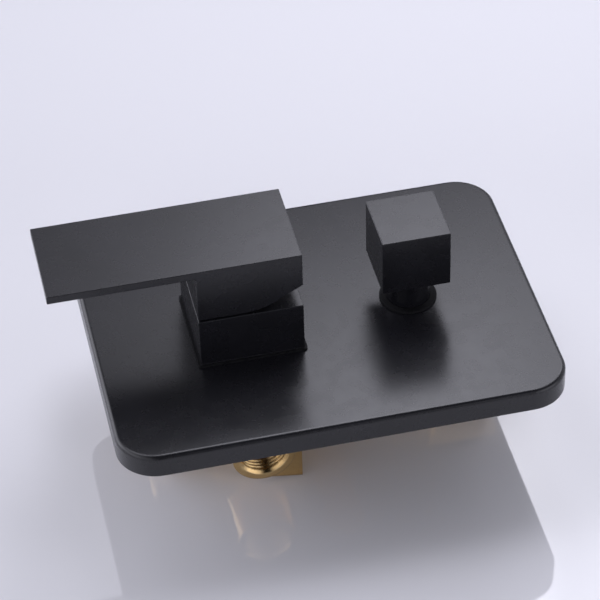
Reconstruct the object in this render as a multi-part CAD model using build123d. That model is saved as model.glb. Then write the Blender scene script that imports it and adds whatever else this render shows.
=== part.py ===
"""Concealed single-lever bath mixer with a two-way diverter.

The part lies on its back. Z = 0 is the wall plane, which is the rear rim of the
escutcheon plate, and +Z points out of the wall. X runs along the plate's long side:
the lever points to -X and the diverter knob stands on the +X side. The origin is the
centre of the plate on the wall plane. All sizes are in millimetres.
"""

from build123d import *
from math import cos, radians, sin
import os

# Escutcheon plate: a shallow pressed tray with a turned-down lip
PLATE_LENGTH = 188.0
PLATE_WIDTH = 140.0
PLATE_DEPTH = 10.2
PLATE_CORNER = 17.0
PLATE_EDGE = 2.0
PLATE_SHEET = 1.5
PLATE_HOLE_GAP = 0.7
WALL_SEAL_WIDTH = 3.0
WALL_SEAL_DEPTH = 4.0

# The two working axes, both on the plate's centre line
MIXER_X = -30.1
DIVERTER_X = 41.4

# Square sleeve round the cartridge neck
SLEEVE_SIDE = 43.8
SLEEVE_TOP = PLATE_DEPTH + 24.2
SLEEVE_BORE = 20.0
SLEEVE_OPENING = 18.0
SLEEVE_ROOF = 2.5
SLEEVE_GASKET_SIDE = 46.0
SLEEVE_GASKET_CORNER = 1.5
GASKET_THICKNESS = 1.0
SLEEVE_RING_HEIGHTS = (14.0, 20.0)
SLEEVE_RING_DEPTH = 1.0
SLEEVE_RING_WIDTH = 2.0
SLEEVE_RING_ROUND = 0.5

# Lever handle: a square block with a thin blade, cut away below so that it can tip
BLOCK_UNDERSIDE = SLEEVE_TOP + 1.0
BLOCK_REAR_UNDERSIDE = PLATE_DEPTH + 35.1
HANDLE_TOP = PLATE_DEPTH + 51.1
BLADE_THICKNESS = 3.7
BLADE_TIP_X = -112.2
RISE_START = -3.0
RISE_RADIUS = 27.2
RISE_ANGLE = 22.0
SHARP_EDGE = 0.35
HANDLE_SCREW_Z = 49.0

# Diverter knob and the round sleeve below it
KNOB_SIDE = 29.0
KNOB_BOTTOM = PLATE_DEPTH + 16.1
KNOB_TOP = PLATE_DEPTH + 42.9
KNOB_SCREW_Z = 38.0
KNOB_GAP = 0.4
NECK_RADIUS = 9.2
NECK_FOOT = 8.0
NECK_RING_RADIUS = 12.2

# Cast valve body
BODY_REAR = -54.2
CHAMBER_RADIUS = 22.0
CHAMBER_REAR = -48.0
CHAMBER_FRONT = -10.0
CHAMBER_CHAMFER = 2.0
REAR_BOSS_RADIUS = 18.0
CARTRIDGE_NECK_RADIUS = 19.8
CARTRIDGE_NECK_TOP = 24.0
CARTRIDGE_FLOOR = -6.0
CARTRIDGE_BORE = 17.5
NUT_THREAD_RADIUS = 18.5
NUT_SEAT = 12.0
DIVERTER_CHAMBER_RADIUS = 14.5
DIVERTER_NECK_RADIUS = 13.0
DIVERTER_NECK_TOP = 4.0
DIVERTER_FLOOR = -28.0
DIVERTER_BORE = 8.0
BONNET_THREAD_RADIUS = 10.0
BONNET_SEAT = -10.0
SPINE_WIDTH = 19.0
SPINE_REAR = -46.0
SPINE_FRONT = -12.0
DRILL_OVERRUN = 2.5
MIXED_PASSAGE_RADIUS = 3.6
MIXED_PASSAGE_Z = -14.5
MIXED_HOLE_FLOOR = -17.0

# Cast feet beside the inlets
FOOT_SIDE_X = -12.8
FOOT_REAR = -53.8
FOOT_DRAFT = 3.1
FOOT_ROOT = 6.0
FOOT_REACH = 31.0

# G1/2 ports
PORT_RADIUS = 13.5
THREAD_MINOR = 9.3
THREAD_MAJOR = 10.48
THREAD_PITCH = 1.814
THREAD_TURNS = 8
THREAD_LAND = 0.3
PORT_CHAMFER = 1.4
INLET_STAGGER = 0.9
HOT_INLET_X = MIXER_X + INLET_STAGGER
COLD_INLET_X = MIXER_X - INLET_STAGGER
INLET_Z = -28.0
INLET_REACH = 41.0
LOWER_OUTLET_X = -74.0
LOWER_OUTLET_Z = -40.0
UPPER_OUTLET_X = 78.0
UPPER_OUTLET_Z = -39.0
PORT_THROAT = 14.0
INLET_PASSAGE_RADIUS = 4.5
OUTLET_PASSAGE_RADIUS = 3.5
PASSAGE_SETBACK = 0.5

# Fixing ears
EAR_X = 6.0
EAR_SPACING = 58.0
EAR_RADIUS = 8.0
EAR_REAR = -22.0
EAR_THICKNESS = 6.0
EAR_HOLE_RADIUS = 2.75
EAR_BAR_WIDTH = 14.0

# Clearances between pieces that don't move on each other, and between those that do
CLOSE_GAP = 0.1
RUNNING_GAP = 0.05

# Cartridge
BASE_SEAL_WIDTH = 1.4
BASE_SEAL_DEPTH = 1.2
CASING_SHOULDER = 12.0
CASING_RADIUS = 17.4
CASING_COLLAR_RADIUS = 15.0
CASING_TOP = 27.0
DISC_CHAMBER_RADIUS = 15.5
DISC_CHAMBER_TOP = 10.0
FIXED_DISC_TOP = 4.0
MOVING_DISC_RADIUS = 11.5
MOVING_DISC_TOP = 7.5
MIXING_POCKET = (8.0, 6.0)
MIXING_POCKET_TOP = 6.0
DRIVER_RADIUS = 9.4
DRIVER_TOP = 12.2
DRIVER_GAP = 0.15
CARRIER_BORE = 13.05
CARRIER_RADIUS = 13.0
CARRIER_NECK_RADIUS = 12.0
CARRIER_BOTTOM = 12.4
CARRIER_SHOULDER = 24.9
CARRIER_TOP = 31.2
PIVOT_Z = 28.2
PIN_RADIUS = 1.95
PIN_REACH = 11.5
NUT_HEX = 34.0
NUT_TOP = 28.0
ARM_OFFSET = 2.7
ARM_DROP = 17.5
ARM_RADIUS = 2.3
BALL_RADIUS = 2.5
STEM_SIDE = 8.0
STEM_BOTTOM = 24.2
STEM_TOP = 51.0
STEM_GAP = 0.15
STEM_SLOT_REACH = 6.6
SOCKET_DEPTH_GAP = 0.2
WATER_HOLE_Y = 8.5
WATER_HOLE_RADIUS = 3.2
MIXED_HOLE_OFFSET = 9.0
WATER_HOLES = (
    (INLET_STAGGER, WATER_HOLE_Y, WATER_HOLE_RADIUS),
    (-INLET_STAGGER, -WATER_HOLE_Y, WATER_HOLE_RADIUS),
    (MIXED_HOLE_OFFSET, 0.0, MIXED_PASSAGE_RADIUS),
)

# Grub screws with a 2 mm hexagon socket, and their caps
SET_SCREW_RADIUS = 2.0
SET_SCREW_SOCKET = 1.0
SET_SCREW_SOCKET_DEPTH = 2.0
HANDLE_SCREW_LENGTH = 8.0
KNOB_SCREW_LENGTH = 6.0
SCREW_CAP_RADIUS = 3.0
SCREW_CAP_DEPTH = 2.5
SCREW_CAP_ROUND = 0.3

# Diverter cartridge
SPINDLE_RADIUS = 4.0
SPINDLE_SHOULDER = 23.0
SPINDLE_SQUARE = 5.8
SPINDLE_TOP = 47.0
SPINDLE_COLLAR_RADIUS = 5.8
SPINDLE_COLLAR_BOTTOM = -13.5
SPINDLE_GROOVE_RADIUS = 3.0
SPINDLE_GROOVE_TOP = 2.0
WASHER_RADIUS = 7.0
WASHER_THICKNESS = 0.8
BONNET_TUBE_RADIUS = 7.2
BONNET_TOP = 22.0
BONNET_HEX = 24.0
BONNET_HEX_TOP = 8.0
BONNET_GROOVE_RADIUS = 8.6
BONNET_GROOVE = (-7.0, -5.2)
SEAL_ROUND = 0.4
DIVERTER_HOLE_OFFSET = 4.5
DIVERTER_HOLE_RADIUS = 2.4
SEAT_SEAL_TOP = -27.0
FIXED_SEAT_TOP = -24.0
MOVING_SEAT_TOP = -20.9
TONGUE_BOTTOM = -22.2
TONGUE_WIDTH = 3.0
TONGUE_REACH = 6.0


def disc(radius, low, high, x=0.0, y=0.0):
    """Upright cylinder between two heights."""
    return Pos(x, y, (low + high) / 2) * Cylinder(radius, high - low)


def ring(inner, outer, low, high, x=0.0, y=0.0):
    """Upright tube between two heights."""
    return disc(outer, low, high, x, y) - disc(inner, low, high, x, y)


def rod_x(radius, start, end, y, z):
    """Cylinder along X."""
    return Pos((start + end) / 2, y, z) * Rot(0, 90, 0) * Cylinder(radius, abs(end - start))


def rod_y(radius, start, end, x, z):
    """Cylinder along Y."""
    return Pos(x, (start + end) / 2, z) * Rot(90, 0, 0) * Cylinder(radius, abs(end - start))


def block(x_range, y_range, z_range):
    """Box between three pairs of limits."""
    spans = (x_range, y_range, z_range)
    middle = [(low + high) / 2 for low, high in spans]
    size = [high - low for low, high in spans]
    return Pos(*middle) * Box(*size)


def square_post(side, low, high, x):
    """Upright square bar centred on an axis of the valve."""
    half = side / 2
    return block((x - half, x + half), (-half, half), (low, high))


def hexagon_post(across_flats, low, high, x):
    """Upright hexagonal bar."""
    outline = RegularPolygon(across_flats / 2, 6, major_radius=False)
    return Pos(x, 0, low) * extrude(outline, high - low)


def tray_outline(inset):
    """The plate's rounded rectangle, drawn in by an inset."""
    return RectangleRounded(
        PLATE_LENGTH - 2 * inset, PLATE_WIDTH - 2 * inset, PLATE_CORNER - inset
    )


def port_cutter():
    """Threaded hole with a lead-in chamfer: its mouth is at Z = 0 and it runs along +Z."""
    flank = (THREAD_PITCH - 2 * THREAD_LAND) / 2
    outline = [(0, 0), (THREAD_MINOR + PORT_CHAMFER, 0), (THREAD_MINOR, PORT_CHAMFER)]
    for turn in range(THREAD_TURNS):
        low = PORT_CHAMFER + turn * THREAD_PITCH
        outline += [
            (THREAD_MINOR, low + THREAD_LAND),
            (THREAD_MAJOR, low + THREAD_LAND + flank),
            (THREAD_MAJOR, low + 2 * THREAD_LAND + flank),
            (THREAD_MINOR, low + THREAD_PITCH),
        ]
    bottom = PORT_CHAMFER + THREAD_TURNS * THREAD_PITCH + THREAD_LAND
    outline += [(THREAD_MINOR, bottom), (0, bottom + THREAD_MINOR / 3)]
    face = make_face(Polyline(*outline, close=True))
    return revolve(Plane.XZ * face, Axis.Z)


def port_frames():
    """Each port's mouth, with Z pointing into the casting: hot, cold, lower and upper."""
    hot = Plane(origin=(HOT_INLET_X, INLET_REACH, INLET_Z), z_dir=(0, -1, 0))
    cold = Plane(origin=(COLD_INLET_X, -INLET_REACH, INLET_Z), z_dir=(0, 1, 0))
    lower = Plane(origin=(LOWER_OUTLET_X, 0, LOWER_OUTLET_Z), z_dir=(1, 0, 0))
    upper = Plane(origin=(UPPER_OUTLET_X, 0, UPPER_OUTLET_Z), z_dir=(-1, 0, 0))
    return hot, cold, lower, upper


def body_foot(inlet_x):
    """Cast foot behind the cold inlet, with a drafted rear face."""
    outline = Polyline(
        (inlet_x, INLET_Z),
        (inlet_x, FOOT_REAR + FOOT_DRAFT),
        (FOOT_SIDE_X, FOOT_REAR),
        (FOOT_SIDE_X, INLET_Z),
        close=True,
    )
    profile = Plane.XZ.offset(FOOT_ROOT) * make_face(outline)
    return extrude(profile, FOOT_REACH - FOOT_ROOT)


def valve_outside():
    """Outer form of the casting: two chambers on a spine, four port collars and the ears."""
    body = disc(CHAMBER_RADIUS, CHAMBER_REAR, CHAMBER_FRONT, MIXER_X)
    body = chamfer(body.edges().group_by(Axis.Z)[0], CHAMBER_CHAMFER)
    body += disc(REAR_BOSS_RADIUS, BODY_REAR, CHAMBER_REAR, MIXER_X)
    body += disc(CARTRIDGE_NECK_RADIUS, CHAMBER_FRONT, CARTRIDGE_NECK_TOP, MIXER_X)
    body += disc(DIVERTER_CHAMBER_RADIUS, BODY_REAR, BONNET_SEAT, DIVERTER_X)
    body += disc(DIVERTER_NECK_RADIUS, BONNET_SEAT, DIVERTER_NECK_TOP, DIVERTER_X)
    half = SPINE_WIDTH / 2
    body += block((MIXER_X, DIVERTER_X), (-half, half), (SPINE_REAR, SPINE_FRONT))
    body += rod_y(PORT_RADIUS, 0, INLET_REACH, HOT_INLET_X, INLET_Z)
    body += rod_y(PORT_RADIUS, -INLET_REACH, 0, COLD_INLET_X, INLET_Z)
    body += rod_x(PORT_RADIUS, LOWER_OUTLET_X, MIXER_X, 0, LOWER_OUTLET_Z)
    body += rod_x(PORT_RADIUS, DIVERTER_X, UPPER_OUTLET_X, 0, UPPER_OUTLET_Z)
    body += body_foot(COLD_INLET_X) + mirror(body_foot(HOT_INLET_X), Plane.XZ)
    return body + fixing_ears()


def fixing_ears():
    """Cross bar with a rounded ear at each end."""
    reach = EAR_SPACING / 2
    front = EAR_REAR + EAR_THICKNESS
    half = EAR_BAR_WIDTH / 2
    bar = block((EAR_X - half, EAR_X + half), (-reach, reach), (EAR_REAR, front))
    for side in (-1, 1):
        bar += disc(EAR_RADIUS, EAR_REAR, front, EAR_X, side * reach)
    return bar


def outlet_passage(side, mouth_x, height):
    """Drilling from one of the diverter's holes down and out to its port."""
    hole_x = DIVERTER_X + side * DIVERTER_HOLE_OFFSET
    drop = disc(DIVERTER_HOLE_RADIUS, height - DRILL_OVERRUN, DIVERTER_FLOOR, hole_x)
    start = hole_x + side * PASSAGE_SETBACK
    return drop + rod_x(OUTLET_PASSAGE_RADIUS, start, mouth_x - side * PORT_THROAT, 0, height)


def inlet_passage(side):
    """Drilling from an inlet port to the cartridge's hole on that side."""
    x = MIXER_X + side * INLET_STAGGER
    inner, outer = side * WATER_HOLE_Y, side * (INLET_REACH - PORT_THROAT)
    across = rod_y(INLET_PASSAGE_RADIUS, inner, outer, x, INLET_Z)
    return across + disc(WATER_HOLE_RADIUS, INLET_Z - DRILL_OVERRUN, CARTRIDGE_FLOOR, x, inner)


def valve_waterways():
    """Everything drilled out of the casting."""
    hollow = disc(CARTRIDGE_BORE, CARTRIDGE_FLOOR, CARTRIDGE_NECK_TOP, MIXER_X)
    hollow += disc(NUT_THREAD_RADIUS, NUT_SEAT, CARTRIDGE_NECK_TOP, MIXER_X)
    hollow += inlet_passage(1) + inlet_passage(-1)
    mixed_x = MIXER_X + MIXED_HOLE_OFFSET
    hollow += disc(MIXED_PASSAGE_RADIUS, MIXED_HOLE_FLOOR, CARTRIDGE_FLOOR, mixed_x)
    hollow += rod_x(MIXED_PASSAGE_RADIUS, mixed_x, DIVERTER_X, 0, MIXED_PASSAGE_Z)
    hollow += disc(DIVERTER_BORE, DIVERTER_FLOOR, BONNET_SEAT, DIVERTER_X)
    hollow += disc(BONNET_THREAD_RADIUS, BONNET_SEAT, DIVERTER_NECK_TOP, DIVERTER_X)
    hollow += outlet_passage(-1, LOWER_OUTLET_X, LOWER_OUTLET_Z)
    hollow += outlet_passage(1, UPPER_OUTLET_X, UPPER_OUTLET_Z)
    for side in (-1, 1):
        ear_y = side * EAR_SPACING / 2
        hollow += disc(EAR_HOLE_RADIUS, EAR_REAR, EAR_REAR + EAR_THICKNESS, EAR_X, ear_y)
    for frame in port_frames():
        hollow += frame * port_cutter()
    return hollow


def valve_body():
    return valve_outside() - valve_waterways()


def escutcheon_plate():
    shell = extrude(tray_outline(0), PLATE_DEPTH)
    shell = fillet(shell.edges().group_by(Axis.Z)[-1], PLATE_EDGE)
    shell -= extrude(tray_outline(PLATE_SHEET), PLATE_DEPTH - PLATE_SHEET)
    shell -= disc(CARTRIDGE_NECK_RADIUS + PLATE_HOLE_GAP, 0, PLATE_DEPTH, MIXER_X)
    return shell - disc(NECK_RADIUS + PLATE_HOLE_GAP, 0, PLATE_DEPTH, DIVERTER_X)


def plate_wall_seal():
    strip = tray_outline(PLATE_SHEET) - tray_outline(PLATE_SHEET + WALL_SEAL_WIDTH)
    return extrude(strip, WALL_SEAL_DEPTH)


def sleeve_gasket():
    base = square_post(SLEEVE_GASKET_SIDE, PLATE_DEPTH, PLATE_DEPTH + GASKET_THICKNESS, MIXER_X)
    base = fillet(base.edges().filter_by(Axis.Z), SLEEVE_GASKET_CORNER)
    return base - disc(CARTRIDGE_NECK_RADIUS + CLOSE_GAP, 0, SLEEVE_TOP, MIXER_X)


def square_sleeve():
    bottom = PLATE_DEPTH + GASKET_THICKNESS
    sleeve = square_post(SLEEVE_SIDE, bottom, SLEEVE_TOP, MIXER_X)
    sleeve = fillet(sleeve.edges().filter_by(Axis.Z) + sleeve.edges().group_by(Axis.Z)[-1], SHARP_EDGE)
    sleeve -= disc(SLEEVE_BORE, bottom, SLEEVE_TOP - SLEEVE_ROOF, MIXER_X)
    sleeve -= disc(SLEEVE_OPENING, bottom, SLEEVE_TOP, MIXER_X)
    for low in SLEEVE_RING_HEIGHTS:
        sleeve -= disc(SLEEVE_BORE + SLEEVE_RING_DEPTH, low, low + SLEEVE_RING_WIDTH, MIXER_X)
    return sleeve


def sleeve_o_rings():
    outer = SLEEVE_BORE + SLEEVE_RING_DEPTH
    rings = []
    for low in SLEEVE_RING_HEIGHTS:
        seal = ring(CARTRIDGE_NECK_RADIUS, outer, low, low + SLEEVE_RING_WIDTH, MIXER_X)
        rings.append(fillet(seal.edges(), SLEEVE_RING_ROUND))
    return rings[0] + rings[1]


def cartridge_casing():
    casing = disc(CASING_RADIUS, 0, CASING_SHOULDER, MIXER_X)
    casing += disc(CASING_COLLAR_RADIUS, CASING_SHOULDER, CASING_TOP, MIXER_X)
    casing -= disc(DISC_CHAMBER_RADIUS, 0, DISC_CHAMBER_TOP, MIXER_X)
    return casing - disc(CARRIER_BORE, DISC_CHAMBER_TOP, CASING_TOP, MIXER_X)


def water_holes(extra, low, high):
    """The cartridge's hot, cold and mixed water holes."""
    holes = [disc(radius + extra, low, high, MIXER_X + dx, dy) for dx, dy, radius in WATER_HOLES]
    return holes[0] + holes[1] + holes[2]


def cartridge_base():
    base = disc(CASING_RADIUS, CARTRIDGE_FLOOR, 0, MIXER_X)
    base -= water_holes(0, CARTRIDGE_FLOOR, 0)
    return base - water_holes(BASE_SEAL_WIDTH, CARTRIDGE_FLOOR, CARTRIDGE_FLOOR + BASE_SEAL_DEPTH)


def cartridge_base_seals():
    top = CARTRIDGE_FLOOR + BASE_SEAL_DEPTH
    return water_holes(BASE_SEAL_WIDTH, CARTRIDGE_FLOOR, top) - water_holes(0, CARTRIDGE_FLOOR, top)


def fixed_ceramic_disc():
    plate = disc(DISC_CHAMBER_RADIUS - CLOSE_GAP, 0, FIXED_DISC_TOP, MIXER_X)
    return plate - water_holes(0, 0, FIXED_DISC_TOP)


def moving_ceramic_disc():
    """Disc with a blind pocket below that joins the water holes."""
    centre = MIXER_X + ARM_OFFSET
    plate = disc(MOVING_DISC_RADIUS, FIXED_DISC_TOP + RUNNING_GAP, MOVING_DISC_TOP, centre)
    pocket_depth = MIXING_POCKET_TOP - FIXED_DISC_TOP
    return plate - Pos(centre, 0, FIXED_DISC_TOP) * extrude(Ellipse(*MIXING_POCKET), pocket_depth)


def disc_driver():
    centre = MIXER_X + ARM_OFFSET
    return ring(BALL_RADIUS + DRIVER_GAP, DRIVER_RADIUS, MOVING_DISC_TOP, DRIVER_TOP, centre)


def cartridge_carrier():
    carrier = disc(CARRIER_RADIUS, CARRIER_BOTTOM, CARRIER_SHOULDER, MIXER_X)
    carrier += disc(CARRIER_NECK_RADIUS, CARRIER_SHOULDER, CARRIER_TOP, MIXER_X)
    half = STEM_SIDE / 2 + STEM_GAP
    slot_x = (MIXER_X - STEM_SLOT_REACH, MIXER_X + STEM_SLOT_REACH)
    carrier -= block(slot_x, (-half, half), (CARRIER_BOTTOM, CARRIER_TOP))
    return carrier - lever_pivot_pin()


def lever_pivot_pin():
    return rod_y(PIN_RADIUS, -PIN_REACH, PIN_REACH, MIXER_X, PIVOT_Z)


def carrier_bearing_ring():
    inner = CARRIER_NECK_RADIUS + RUNNING_GAP
    return ring(inner, CARRIER_BORE, CARRIER_SHOULDER + CLOSE_GAP, CASING_TOP, MIXER_X)


def retaining_nut():
    nut = disc(NUT_THREAD_RADIUS - CLOSE_GAP, NUT_SEAT, CARTRIDGE_NECK_TOP, MIXER_X)
    nut += hexagon_post(NUT_HEX, CARTRIDGE_NECK_TOP, NUT_TOP, MIXER_X)
    return nut - disc(CASING_COLLAR_RADIUS + CLOSE_GAP, NUT_SEAT, NUT_TOP, MIXER_X)


def cartridge_spindle():
    """Square stem above the pivot, ball-ended arm below it."""
    ball = (MIXER_X + ARM_OFFSET, 0, PIVOT_Z - ARM_DROP)
    arm_line = Line((MIXER_X, 0, PIVOT_Z), ball)
    arm = sweep(Plane(origin=arm_line @ 0, z_dir=arm_line % 0) * Circle(ARM_RADIUS), arm_line)
    spindle = square_post(STEM_SIDE, STEM_BOTTOM, STEM_TOP, MIXER_X)
    spindle += arm + Pos(*ball) * Sphere(BALL_RADIUS)
    return spindle - rod_y(PIN_RADIUS + RUNNING_GAP, -STEM_SIDE, STEM_SIDE, MIXER_X, PIVOT_Z)


def handle_profile():
    """Side view of the handle: X to the right and Z up."""
    half = SLEEVE_SIDE / 2
    front, rear = MIXER_X - half, MIXER_X + half
    start_x = MIXER_X + RISE_START
    angle = radians(RISE_ANGLE)
    arc_end = (start_x + RISE_RADIUS * sin(angle), BLOCK_UNDERSIDE + RISE_RADIUS * (1 - cos(angle)))
    rise = CenterArc((start_x, BLOCK_UNDERSIDE + RISE_RADIUS), RISE_RADIUS, -90, RISE_ANGLE)
    top = Polyline(
        arc_end,
        (rear, BLOCK_REAR_UNDERSIDE),
        (rear, HANDLE_TOP),
        (BLADE_TIP_X, HANDLE_TOP),
        (BLADE_TIP_X, HANDLE_TOP - BLADE_THICKNESS),
        (front, HANDLE_TOP - BLADE_THICKNESS),
        (front, BLOCK_UNDERSIDE),
        (start_x, BLOCK_UNDERSIDE),
    )
    return Plane.XZ * make_face(rise + top)


def lever_handle():
    handle = extrude(handle_profile(), SLEEVE_SIDE / 2, both=True)
    handle = fillet(handle.edges(), SHARP_EDGE)
    handle -= square_post(STEM_SIDE + CLOSE_GAP, 0, STEM_TOP + SOCKET_DEPTH_GAP, MIXER_X)
    rear = MIXER_X + SLEEVE_SIDE / 2
    handle -= rod_x(SET_SCREW_RADIUS, MIXER_X, rear, 0, HANDLE_SCREW_Z)
    return handle - rod_x(SCREW_CAP_RADIUS, rear - SCREW_CAP_DEPTH, rear, 0, HANDLE_SCREW_Z)


def set_screw(tip, head):
    """Grub screw along X with a hexagon socket in its head."""
    screw = rod_x(SET_SCREW_RADIUS, tip, head, 0, 0)
    socket = RegularPolygon(SET_SCREW_SOCKET, 6, major_radius=False)
    frame = Plane(origin=(head, 0, 0), z_dir=(-1, 0, 0))
    return screw - extrude(frame * socket, SET_SCREW_SOCKET_DEPTH)


def screw_cap(face):
    """Push-in plug along X whose outer face lies at a given distance."""
    cap = rod_x(SCREW_CAP_RADIUS, face - SCREW_CAP_DEPTH, face, 0, 0)
    return fillet(cap.edges().group_by(Axis.X)[-1], SCREW_CAP_ROUND)


def handle_set_screw():
    tip = STEM_SIDE / 2
    return Pos(MIXER_X, 0, HANDLE_SCREW_Z) * set_screw(tip, tip + HANDLE_SCREW_LENGTH)


def handle_screw_cap():
    return Pos(MIXER_X, 0, HANDLE_SCREW_Z) * screw_cap(SLEEVE_SIDE / 2)


def diverter_bonnet():
    bonnet = disc(BONNET_THREAD_RADIUS - CLOSE_GAP, BONNET_SEAT, DIVERTER_NECK_TOP, DIVERTER_X)
    bonnet += hexagon_post(BONNET_HEX, DIVERTER_NECK_TOP, BONNET_HEX_TOP, DIVERTER_X)
    bonnet += disc(BONNET_TUBE_RADIUS, BONNET_HEX_TOP, BONNET_TOP, DIVERTER_X)
    bonnet -= ring(BONNET_GROOVE_RADIUS, BONNET_THREAD_RADIUS, *BONNET_GROOVE, DIVERTER_X)
    return bonnet - disc(SPINDLE_RADIUS + RUNNING_GAP, BONNET_SEAT, BONNET_TOP, DIVERTER_X)


def bonnet_o_ring():
    seal = ring(BONNET_GROOVE_RADIUS, BONNET_THREAD_RADIUS, *BONNET_GROOVE, DIVERTER_X)
    return fillet(seal.edges(), SEAL_ROUND)


def diverter_sleeve():
    sleeve = disc(NECK_RADIUS, NECK_FOOT, KNOB_BOTTOM - KNOB_GAP, DIVERTER_X)
    sleeve = fillet(sleeve.edges().group_by(Axis.Z)[-1], SHARP_EDGE)
    return sleeve - disc(BONNET_TUBE_RADIUS + CLOSE_GAP, NECK_FOOT, KNOB_TOP, DIVERTER_X)


def diverter_gasket():
    top = PLATE_DEPTH + GASKET_THICKNESS
    gasket = disc(NECK_RING_RADIUS, PLATE_DEPTH, top, DIVERTER_X)
    gasket = fillet(gasket.edges().group_by(Axis.Z)[-1], SEAL_ROUND)
    return gasket - disc(NECK_RADIUS + CLOSE_GAP, 0, top, DIVERTER_X)


def outlet_holes(low, high):
    sides = (-DIVERTER_HOLE_OFFSET, DIVERTER_HOLE_OFFSET)
    pair = [disc(DIVERTER_HOLE_RADIUS, low, high, DIVERTER_X + side) for side in sides]
    return pair[0] + pair[1]


def diverter_seat(low, high):
    """One of the two drilled discs at the bottom of the diverter's bore."""
    return disc(DIVERTER_BORE - CLOSE_GAP, low, high, DIVERTER_X) - outlet_holes(low, high)


def diverter_seat_seal():
    return diverter_seat(DIVERTER_FLOOR, SEAT_SEAL_TOP)


def diverter_fixed_disc():
    return diverter_seat(SEAT_SEAL_TOP, FIXED_SEAT_TOP)


def diverter_tongue():
    """Flat tongue by which the spindle turns the moving disc."""
    half = TONGUE_WIDTH / 2
    tongue_x = (DIVERTER_X - half, DIVERTER_X + half)
    return block(tongue_x, (-TONGUE_REACH, TONGUE_REACH), (TONGUE_BOTTOM, MOVING_SEAT_TOP))


def diverter_moving_disc():
    """Disc with one hole, which it carries from one outlet to the other."""
    radius = DIVERTER_BORE - 2 * CLOSE_GAP
    plate = disc(radius, FIXED_SEAT_TOP + RUNNING_GAP, MOVING_SEAT_TOP, DIVERTER_X)
    hole_x = DIVERTER_X + DIVERTER_HOLE_OFFSET
    return plate - disc(DIVERTER_HOLE_RADIUS, FIXED_SEAT_TOP, MOVING_SEAT_TOP, hole_x) - diverter_tongue()


def diverter_spindle():
    spindle = disc(SPINDLE_RADIUS, MOVING_SEAT_TOP, SPINDLE_SHOULDER, DIVERTER_X)
    collar_top = BONNET_SEAT - WASHER_THICKNESS - RUNNING_GAP
    spindle += disc(SPINDLE_COLLAR_RADIUS, SPINDLE_COLLAR_BOTTOM, collar_top, DIVERTER_X)
    spindle += square_post(SPINDLE_SQUARE, SPINDLE_SHOULDER, SPINDLE_TOP, DIVERTER_X)
    round_end = disc(TONGUE_REACH - CLOSE_GAP, TONGUE_BOTTOM, MOVING_SEAT_TOP, DIVERTER_X)
    spindle += diverter_tongue() & round_end
    return spindle - ring(SPINDLE_GROOVE_RADIUS, SPINDLE_COLLAR_RADIUS, 0, SPINDLE_GROOVE_TOP, DIVERTER_X)


def spindle_o_ring():
    outer = SPINDLE_RADIUS + RUNNING_GAP / 2
    seal = ring(SPINDLE_GROOVE_RADIUS, outer, 0, SPINDLE_GROOVE_TOP, DIVERTER_X)
    return fillet(seal.edges(), SEAL_ROUND)


def spindle_thrust_washer():
    low = BONNET_SEAT - WASHER_THICKNESS
    return ring(SPINDLE_RADIUS + CLOSE_GAP, WASHER_RADIUS, low, BONNET_SEAT, DIVERTER_X)


def knob_frame():
    """Frame of the knob's grub screw, which runs along +Y from the diverter's axis."""
    return Pos(DIVERTER_X, 0, KNOB_SCREW_Z) * Rot(0, 0, 90)


def diverter_knob():
    knob = square_post(KNOB_SIDE, KNOB_BOTTOM, KNOB_TOP, DIVERTER_X)
    knob = fillet(knob.edges(), SHARP_EDGE)
    knob -= square_post(SPINDLE_SQUARE + CLOSE_GAP, 0, SPINDLE_TOP + SOCKET_DEPTH_GAP, DIVERTER_X)
    half = KNOB_SIDE / 2
    knob -= knob_frame() * rod_x(SET_SCREW_RADIUS, 0, half, 0, 0)
    return knob - knob_frame() * rod_x(SCREW_CAP_RADIUS, half - SCREW_CAP_DEPTH, half, 0, 0)


def knob_set_screw():
    tip = SPINDLE_SQUARE / 2
    return knob_frame() * set_screw(tip, tip + KNOB_SCREW_LENGTH)


def knob_screw_cap():
    return knob_frame() * screw_cap(KNOB_SIDE / 2)


NODES = (
    valve_body,
    escutcheon_plate,
    plate_wall_seal,
    sleeve_gasket,
    square_sleeve,
    sleeve_o_rings,
    cartridge_casing,
    cartridge_base,
    cartridge_base_seals,
    fixed_ceramic_disc,
    carrier_bearing_ring,
    retaining_nut,
    cartridge_carrier,
    lever_pivot_pin,
    moving_ceramic_disc,
    disc_driver,
    cartridge_spindle,
    lever_handle,
    handle_set_screw,
    handle_screw_cap,
    diverter_bonnet,
    bonnet_o_ring,
    diverter_sleeve,
    diverter_gasket,
    diverter_seat_seal,
    diverter_fixed_disc,
    spindle_thrust_washer,
    diverter_moving_disc,
    diverter_spindle,
    spindle_o_ring,
    diverter_knob,
    knob_set_screw,
    knob_screw_cap,
)

os.makedirs("parts", exist_ok=True)
for make_node in NODES:
    export_step(make_node(), f"parts/{make_node.__name__}.step")
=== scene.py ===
from math import cos, pi, radians, sin

import bpy
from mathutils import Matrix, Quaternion, Vector


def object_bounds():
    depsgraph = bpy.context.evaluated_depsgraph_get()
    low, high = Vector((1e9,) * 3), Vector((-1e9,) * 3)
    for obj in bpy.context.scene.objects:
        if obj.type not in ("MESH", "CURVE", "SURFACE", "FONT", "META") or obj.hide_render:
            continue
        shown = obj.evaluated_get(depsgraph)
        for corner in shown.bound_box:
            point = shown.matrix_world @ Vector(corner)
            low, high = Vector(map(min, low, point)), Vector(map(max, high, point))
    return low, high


# A concealed bath mixer with a diverter, lying on its back on a glossy white table.
# Everything is in metres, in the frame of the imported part, apart from the lens and sensor.

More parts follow.
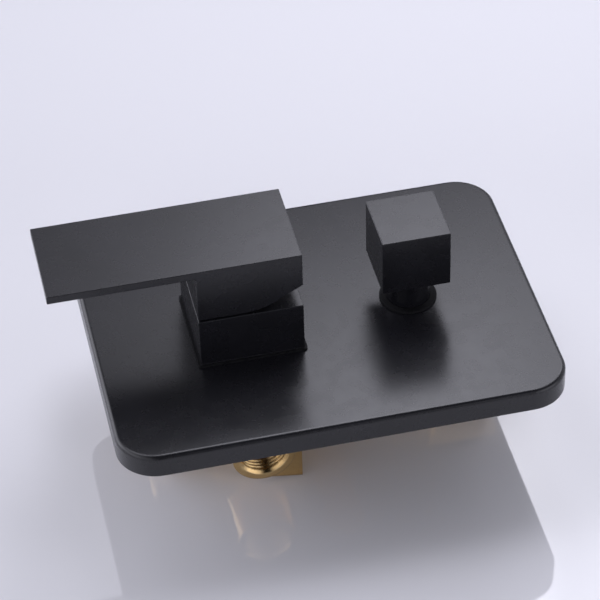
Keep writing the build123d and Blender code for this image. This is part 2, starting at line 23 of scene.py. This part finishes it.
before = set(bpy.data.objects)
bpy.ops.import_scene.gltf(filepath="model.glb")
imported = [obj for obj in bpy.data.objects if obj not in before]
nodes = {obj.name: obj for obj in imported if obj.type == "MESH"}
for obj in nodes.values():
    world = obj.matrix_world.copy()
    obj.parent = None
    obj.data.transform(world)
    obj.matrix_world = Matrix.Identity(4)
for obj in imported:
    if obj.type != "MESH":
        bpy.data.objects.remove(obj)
cad_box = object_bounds()

MM = 0.001
MICRON = 0.000001

# Camera: a long lens above the front of the plate, a little to its left; lens and sensor in millimetres
CAMERA_PLACE = Vector((-0.1732, -0.8192, 0.7608))
CAMERA_AIM = Vector((-0.0035, 0.0083, 0.0102))
CAMERA_ROLL = radians(-1.862)
CAMERA_LENS = 160.36
CAMERA_SENSOR = 36.0

# Glossy white table
FLOOR_SIZE = 12.0
FLOOR_COLOUR = (0.72, 0.72, 0.745, 1.0)
FLOOR_GLOSS = 0.11
FLOOR_GLOSS_ROUGHNESS = 0.04

# Square softboxes, all facing the frame's origin: place, side and the radiance in the middle.
# The fade is the share of the side over which each edge darkens.
SOFTBOX_COLOUR = (0.97, 0.97, 1.08)
SOFTBOX_FADE = 0.3
SOFTBOXES = {
    "overhead": ((0.20, 0.30, 1.00), 0.6, 6.0),
    "overhead_left": ((-0.30, 0.30, 1.00), 0.6, 3.0),
    "overhead_back": ((0.20, 0.80, 1.00), 0.6, 1.5),
    "near_right": ((0.50, 0.45, 0.60), 0.4, 3.0),
    "near_middle": ((0.15, 0.50, 0.60), 0.3, 3.0),
    "near_wide": ((0.35, 0.50, 0.60), 0.5, 1.5),
    "near_left": ((-0.10, 0.70, 0.60), 0.4, 0.5),
}

# Bright patches of the room's walls: azimuth from +Y towards +X, elevation and radiance.
# Angles are in degrees, and the radius is where a patch has faded out.
GLOW_COLOUR = (0.97, 0.97, 1.08)
GLOW_RADIUS = 40
GLOWS = {
    "right_back": (45, 15, 0.5),
    "right": (90, 15, 0.5),
    "right_front": (135, 15, 1.5),
    "left_front": (225, 15, 1.0),
    "left": (270, 15, 1.0),
    "left_back": (315, 15, 2.5),
    "upper_left": (270, 45, 1.0),
}

# Rays that the shaders spend on rounding an edge
BEVEL_SAMPLES = 6


class Shader:
    """A material under construction, with short calls for its nodes."""

    def __init__(self, name):
        self.material = bpy.data.materials.new(name)
        self.material.use_nodes = True
        self.tree = self.material.node_tree
        self.surface = self.tree.nodes["Principled BSDF"]
        self.coordinates = self.tree.nodes.new("ShaderNodeTexCoord").outputs["Object"]

    def node(self, kind, **settings):
        made = self.tree.nodes.new(kind)
        for key, value in settings.items():
            setattr(made, key, value)
        return made

    def link(self, output, socket):
        self.tree.links.new(output, socket)

    def stretched(self, scale):
        """Object coordinates scaled by a different amount on each axis."""
        mapping = self.node("ShaderNodeMapping")
        mapping.inputs["Scale"].default_value = scale
        self.link(self.coordinates, mapping.inputs["Vector"])
        return mapping.outputs["Vector"]

    def noise(self, scale, detail=2.0, roughness=0.5, coordinates=None):
        made = self.node("ShaderNodeTexNoise")
        made.inputs["Scale"].default_value = scale
        made.inputs["Detail"].default_value = detail
        made.inputs["Roughness"].default_value = roughness
        self.link(coordinates or self.coordinates, made.inputs["Vector"])
        return made.outputs["Fac"]

    def cells(self, scale):
        made = self.node("ShaderNodeTexVoronoi")
        made.inputs["Scale"].default_value = scale
        self.link(self.coordinates, made.inputs["Vector"])
        return made.outputs["Distance"]

    def spread(self, factor, low, high, start=0.3, end=0.7):
        """Maps a factor to the range from low to high."""
        made = self.node("ShaderNodeMapRange")
        values = {"From Min": start, "From Max": end, "To Min": low, "To Max": high}
        for key, value in values.items():
            made.inputs[key].default_value = value
        self.link(factor, made.inputs["Value"])
        return made.outputs["Result"]

    def colours(self, factor, stops):
        """A colour ramp through (position, colour) stops."""
        ramp = self.node("ShaderNodeValToRGB")
        elements = ramp.color_ramp.elements
        while len(elements) < len(stops):
            elements.new(0.5)
        for element, (position, colour) in zip(elements, stops):
            element.position = position
            element.color = (*colour, 1.0)
        self.link(factor, ramp.inputs["Fac"])
        return ramp.outputs["Color"]

    def mixed(self, factor, first, second):
        """Mixes colour output first towards colour second."""
        mix = self.node("ShaderNodeMix", data_type="RGBA")
        self.link(factor, mix.inputs["Factor"])
        self.link(first, mix.inputs["A"])
        mix.inputs["B"].default_value = (*second, 1.0)
        return mix.outputs["Result"]

    def rounded(self, radius):
        """Normal of the surface as if its edges had a radius."""
        bevel = self.node("ShaderNodeBevel", samples=BEVEL_SAMPLES)
        bevel.inputs["Radius"].default_value = radius
        return bevel.outputs["Normal"]

    def edges(self, radius):
        """About 1 along sharp edges and 0 on open faces."""
        plain = self.node("ShaderNodeNewGeometry").outputs["Normal"]
        dot = self.node("ShaderNodeVectorMath", operation="DOT_PRODUCT")
        self.link(self.rounded(radius), dot.inputs[0])
        self.link(plain, dot.inputs[1])
        return self.spread(dot.outputs["Value"], 1.0, 0.0, start=0.8, end=0.99)

    def bump(self, height, distance, strength=1.0, under=None):
        """Raises the surface by a height; under is a bump below this one."""
        made = self.node("ShaderNodeBump")
        made.inputs["Distance"].default_value = distance
        made.inputs["Strength"].default_value = strength
        self.link(height, made.inputs["Height"])
        if under is not None:
            self.link(under, made.inputs["Normal"])
        return made.outputs["Normal"]

    def finish(self, colour, roughness, normal, **constants):
        """Links the main sockets and sets the constant ones."""
        self.link(colour, self.surface.inputs["Base Color"])
        self.link(roughness, self.surface.inputs["Roughness"])
        self.link(normal, self.surface.inputs["Normal"])
        for key, value in constants.items():
            self.surface.inputs[key.replace("_", " ")].default_value = value
        return self.material


def satin_black():
    """Baked black enamel: a fine orange peel, slight clouding and a painted highlight along its sharp
    edges.
    """
    paint = Shader("satin_black")
    clouds = paint.noise(45, detail=4)
    colour = paint.colours(clouds, [(0.3, (0.0065, 0.0065, 0.008)), (0.7, (0.0095, 0.0095, 0.012))])
    # Painted highlight: the sharp edges are lightened to stand in for the light their small fillets
    # catch.
    colour = paint.mixed(paint.edges(0.5 * MM), colour, (0.05, 0.05, 0.056))
    roughness = paint.spread(paint.noise(160, detail=3), 0.255, 0.285)
    peel = paint.bump(paint.noise(1500, detail=2), 10 * MICRON, 0.2)
    grain = paint.bump(paint.noise(6500, detail=1), 3 * MICRON, 0.2, under=peel)
    return paint.finish(colour, roughness, grain, IOR=1.5)


def cast_brass():
    """Tumbled brass casting: a smooth, slightly uneven skin and a painted highlight along its edges."""
    brass = Shader("cast_brass")
    patina = brass.noise(70, detail=5, roughness=0.6)
    stops = [(0.3, (0.50, 0.33, 0.14)), (0.55, (0.66, 0.46, 0.21)), (0.75, (0.78, 0.57, 0.29))]
    # Painted highlight: the edges are lightened towards a pale gold to stand in for the light they
    # catch.
    colour = brass.mixed(brass.edges(0.4 * MM), brass.colours(patina, stops), (0.95, 0.78, 0.48))
    roughness = brass.spread(brass.noise(420, detail=4), 0.14, 0.24)
    waves = brass.bump(brass.noise(170, detail=2), 400 * MICRON, 0.3, under=brass.rounded(1.2 * MM))
    skin = brass.bump(brass.noise(1400, detail=3), 20 * MICRON, 0.3, under=waves)
    return brass.finish(colour, roughness, skin, Metallic=1.0)


def turned_brass():
    """Machined brass: fine tool marks round the part and a clean yellow metal."""
    brass = Shader("turned_brass")
    marks = brass.noise(1.0, detail=2, coordinates=brass.stretched((250, 250, 6000)))
    tone = brass.noise(120, detail=3)
    colour = brass.colours(tone, [(0.3, (0.70, 0.44, 0.16)), (0.7, (0.85, 0.58, 0.25))])
    roughness = brass.spread(marks, 0.17, 0.3)
    return brass.finish(colour, roughness, brass.bump(marks, 20 * MICRON, 0.4), Metallic=1.0)


def rubber():
    """Moulded black rubber, matt and a little dusty."""
    seal = Shader("black_rubber")
    dust = seal.noise(900, detail=4)
    colour = seal.colours(dust, [(0.4, (0.004, 0.004, 0.005)), (0.75, (0.013, 0.013, 0.014))])
    roughness = seal.spread(dust, 0.55, 0.78)
    return seal.finish(colour, roughness, seal.bump(dust, 30 * MICRON, 0.5), Specular_IOR_Level=0.15)


def foam():
    """Closed-cell foam with open cut cells, painted near black as the shade it sits in between the
    parts.
    """
    strip = Shader("foam_painted_shade")
    cells = strip.cells(1500)
    # Painted shade: the foam's colour is kept near black to stand in for the shade between the parts.
    colour = strip.colours(cells, [(0.1, (0.006, 0.006, 0.007)), (0.6, (0.018, 0.018, 0.02))])
    roughness = strip.spread(cells, 0.95, 0.8)
    return strip.finish(colour, roughness, strip.bump(cells, 250 * MICRON, 0.8), Specular_IOR_Level=0.1)


def nylon():
    """Natural moulded nylon, slightly waxy."""
    resin = Shader("white_nylon")
    flow = resin.noise(150, detail=4)
    colour = resin.colours(flow, [(0.3, (0.66, 0.65, 0.60)), (0.7, (0.78, 0.77, 0.72))])
    roughness = resin.spread(resin.noise(1200), 0.38, 0.5)
    skin = resin.bump(flow, 30 * MICRON, 0.3)
    made = resin.finish(colour, roughness, skin, Subsurface_Weight=0.15)
    resin.surface.inputs["Subsurface Scale"].default_value = 1 * MM
    return made


def ceramic():
    """Lapped alumina, nearly polished, with sparse grey grains."""
    disc = Shader("ceramic")
    grains = disc.cells(2500)
    colour = disc.colours(grains, [(0.05, (0.62, 0.61, 0.58)), (0.2, (0.82, 0.81, 0.78))])
    roughness = disc.spread(disc.noise(700), 0.1, 0.2)
    return disc.finish(colour, roughness, disc.bump(grains, 10 * MICRON, 0.2))


def stainless():
    """Ground stainless steel with fine scratches along the part."""
    steel = Shader("stainless")
    scratches = steel.noise(1.0, detail=3, coordinates=steel.stretched((400, 400, 9000)))
    colour = steel.colours(scratches, [(0.3, (0.50, 0.50, 0.49)), (0.7, (0.64, 0.63, 0.62))])
    roughness = steel.spread(scratches, 0.2, 0.36)
    return steel.finish(colour, roughness, steel.bump(scratches, 10 * MICRON, 0.3), Metallic=1.0)


def plastic():
    """Moulded black plastic with a light spark texture."""
    cap = Shader("black_plastic")
    texture = cap.noise(2400, detail=3)
    colour = cap.colours(texture, [(0.35, (0.009, 0.009, 0.010)), (0.7, (0.018, 0.018, 0.020))])
    roughness = cap.spread(texture, 0.36, 0.5)
    return cap.finish(colour, roughness, cap.bump(texture, 20 * MICRON, 0.5))


# By slot of the imported part. Its grey_foam slot holds foam painted near black as shade where the
# sleeve meets the plate, so no pale line shows there.
MATERIALS = {
    "black_paint": satin_black(),
    "cast_brass": cast_brass(),
    "black_rubber": rubber(),
    "grey_foam": foam(),
    "white_nylon": nylon(),
    "ceramic": ceramic(),
    "stainless": stainless(),
    "black_plastic": plastic(),
}
TURNED_NODES = ("retaining_nut", "diverter_bonnet", "diverter_spindle", "cartridge_spindle")


def paint_nodes():
    """Gives every CAD node the detailed material of its slot."""
    turned = turned_brass()
    for name, node in nodes.items():
        for place in node.material_slots:
            slot = place.material.name.split(".")[0]
            place.material = turned if name in TURNED_NODES else MATERIALS[slot]


def floor_material():
    """Glossy white sheet: a pale matt body under a clear, nearly sharp reflection."""
    material = bpy.data.materials.new("white_table")
    material.use_nodes = True
    tree = material.node_tree
    tree.nodes.remove(tree.nodes["Principled BSDF"])
    body = tree.nodes.new("ShaderNodeBsdfDiffuse")
    body.inputs["Color"].default_value = FLOOR_COLOUR
    gloss = tree.nodes.new("ShaderNodeBsdfGlossy")
    gloss.inputs["Roughness"].default_value = FLOOR_GLOSS_ROUGHNESS
    gloss.inputs["Color"].default_value = (1.0, 1.0, 1.0, 1.0)
    mix = tree.nodes.new("ShaderNodeMixShader")
    mix.inputs["Fac"].default_value = FLOOR_GLOSS
    tree.links.new(body.outputs["BSDF"], mix.inputs[1])
    tree.links.new(gloss.outputs["BSDF"], mix.inputs[2])
    tree.links.new(mix.outputs["Shader"], tree.nodes["Material Output"].inputs["Surface"])
    return material


def make_floor():
    mesh = bpy.data.meshes.new("floor")
    half = FLOOR_SIZE / 2
    level = cad_box[0].z
    corners = [(x * half, y * half, level) for x, y in ((-1, -1), (1, -1), (1, 1), (-1, 1))]
    mesh.from_pydata(corners, [], [(0, 1, 2, 3)])
    mesh.materials.append(floor_material())
    floor = bpy.data.objects.new("floor", mesh)
    bpy.context.scene.collection.objects.link(floor)


def fade_edges(light):
    """Lets a square light fade smoothly from its middle to its four edges."""
    light.use_nodes = True
    tree = light.node_tree
    across = tree.nodes.new("ShaderNodeNewGeometry").outputs["Parametric"]
    split = tree.nodes.new("ShaderNodeSeparateXYZ")
    tree.links.new(across, split.inputs["Vector"])
    product = tree.nodes.new("ShaderNodeMath")
    product.operation = "MULTIPLY"
    for number, axis in enumerate("XY"):
        distance = tree.nodes.new("ShaderNodeMath")
        distance.operation = "PINGPONG"
        distance.inputs[1].default_value = 0.5
        tree.links.new(split.outputs[axis], distance.inputs[0])
        fade = tree.nodes.new("ShaderNodeMapRange")
        fade.interpolation_type = "SMOOTHSTEP"
        fade.inputs["From Max"].default_value = SOFTBOX_FADE
        tree.links.new(distance.outputs["Value"], fade.inputs["Value"])
        tree.links.new(fade.outputs["Result"], product.inputs[number])
    tree.links.new(product.outputs["Value"], tree.nodes["Emission"].inputs["Strength"])


def make_softbox(name, place, side, radiance):
    light = bpy.data.lights.new(name, "AREA")
    light.shape = "SQUARE"
    light.size = side
    light.energy = radiance * pi * side**2  # watts
    light.color = SOFTBOX_COLOUR
    fade_edges(light)
    lamp = bpy.data.objects.new(name, light)
    bpy.context.scene.collection.objects.link(lamp)
    lamp.location = place
    lamp.rotation_mode = "QUATERNION"
    lamp.rotation_quaternion = (-Vector(place)).to_track_quat("-Z", "Y")


def glow(tree, azimuth, elevation, radiance):
    """Radiance of one soft patch of the sky, in every direction."""
    across, up = radians(azimuth), radians(elevation)
    towards = (sin(across) * cos(up), cos(across) * cos(up), sin(up))
    dot = tree.nodes.new("ShaderNodeVectorMath")
    dot.operation = "DOT_PRODUCT"
    dot.inputs[1].default_value = towards
    tree.links.new(tree.nodes["direction"].outputs["Generated"], dot.inputs[0])
    fade = tree.nodes.new("ShaderNodeMapRange")
    fade.interpolation_type = "SMOOTHSTEP"
    fade.inputs["From Min"].default_value = cos(radians(GLOW_RADIUS))
    fade.inputs["To Max"].default_value = radiance
    tree.links.new(dot.outputs["Value"], fade.inputs["Value"])
    return fade.outputs["Result"]


def make_sky():
    """A dark room with soft bright patches on its walls."""
    world = bpy.data.worlds.new("studio")
    world.use_nodes = True
    tree = world.node_tree
    tree.nodes.new("ShaderNodeTexCoord").name = "direction"
    background = tree.nodes["Background"]
    background.inputs["Color"].default_value = (*GLOW_COLOUR, 1.0)
    total = tree.nodes.new("ShaderNodeValue").outputs["Value"]
    total.default_value = 0.0
    for azimuth, elevation, radiance in GLOWS.values():
        add = tree.nodes.new("ShaderNodeMath")
        tree.links.new(total, add.inputs[0])
        tree.links.new(glow(tree, azimuth, elevation, radiance), add.inputs[1])
        total = add.outputs["Value"]
    tree.links.new(total, background.inputs["Strength"])
    bpy.context.scene.world = world


def make_lights():
    make_sky()
    for name, (place, side, radiance) in SOFTBOXES.items():
        make_softbox(name, place, side, radiance)


def make_camera():
    data = bpy.data.cameras.new("camera")
    data.lens = CAMERA_LENS
    data.sensor_width = CAMERA_SENSOR
    camera = bpy.data.objects.new("camera", data)
    bpy.context.scene.collection.objects.link(camera)
    camera.location = CAMERA_PLACE
    camera.rotation_mode = "QUATERNION"
    look = (CAMERA_AIM - CAMERA_PLACE).to_track_quat("-Z", "Y")
    camera.rotation_quaternion = look @ Quaternion((0, 0, 1), CAMERA_ROLL)
    bpy.context.scene.camera = camera


paint_nodes()
make_floor()
make_lights()
make_camera()
bpy.context.scene.view_settings.view_transform = "Standard"

bpy.context.view_layer.update()
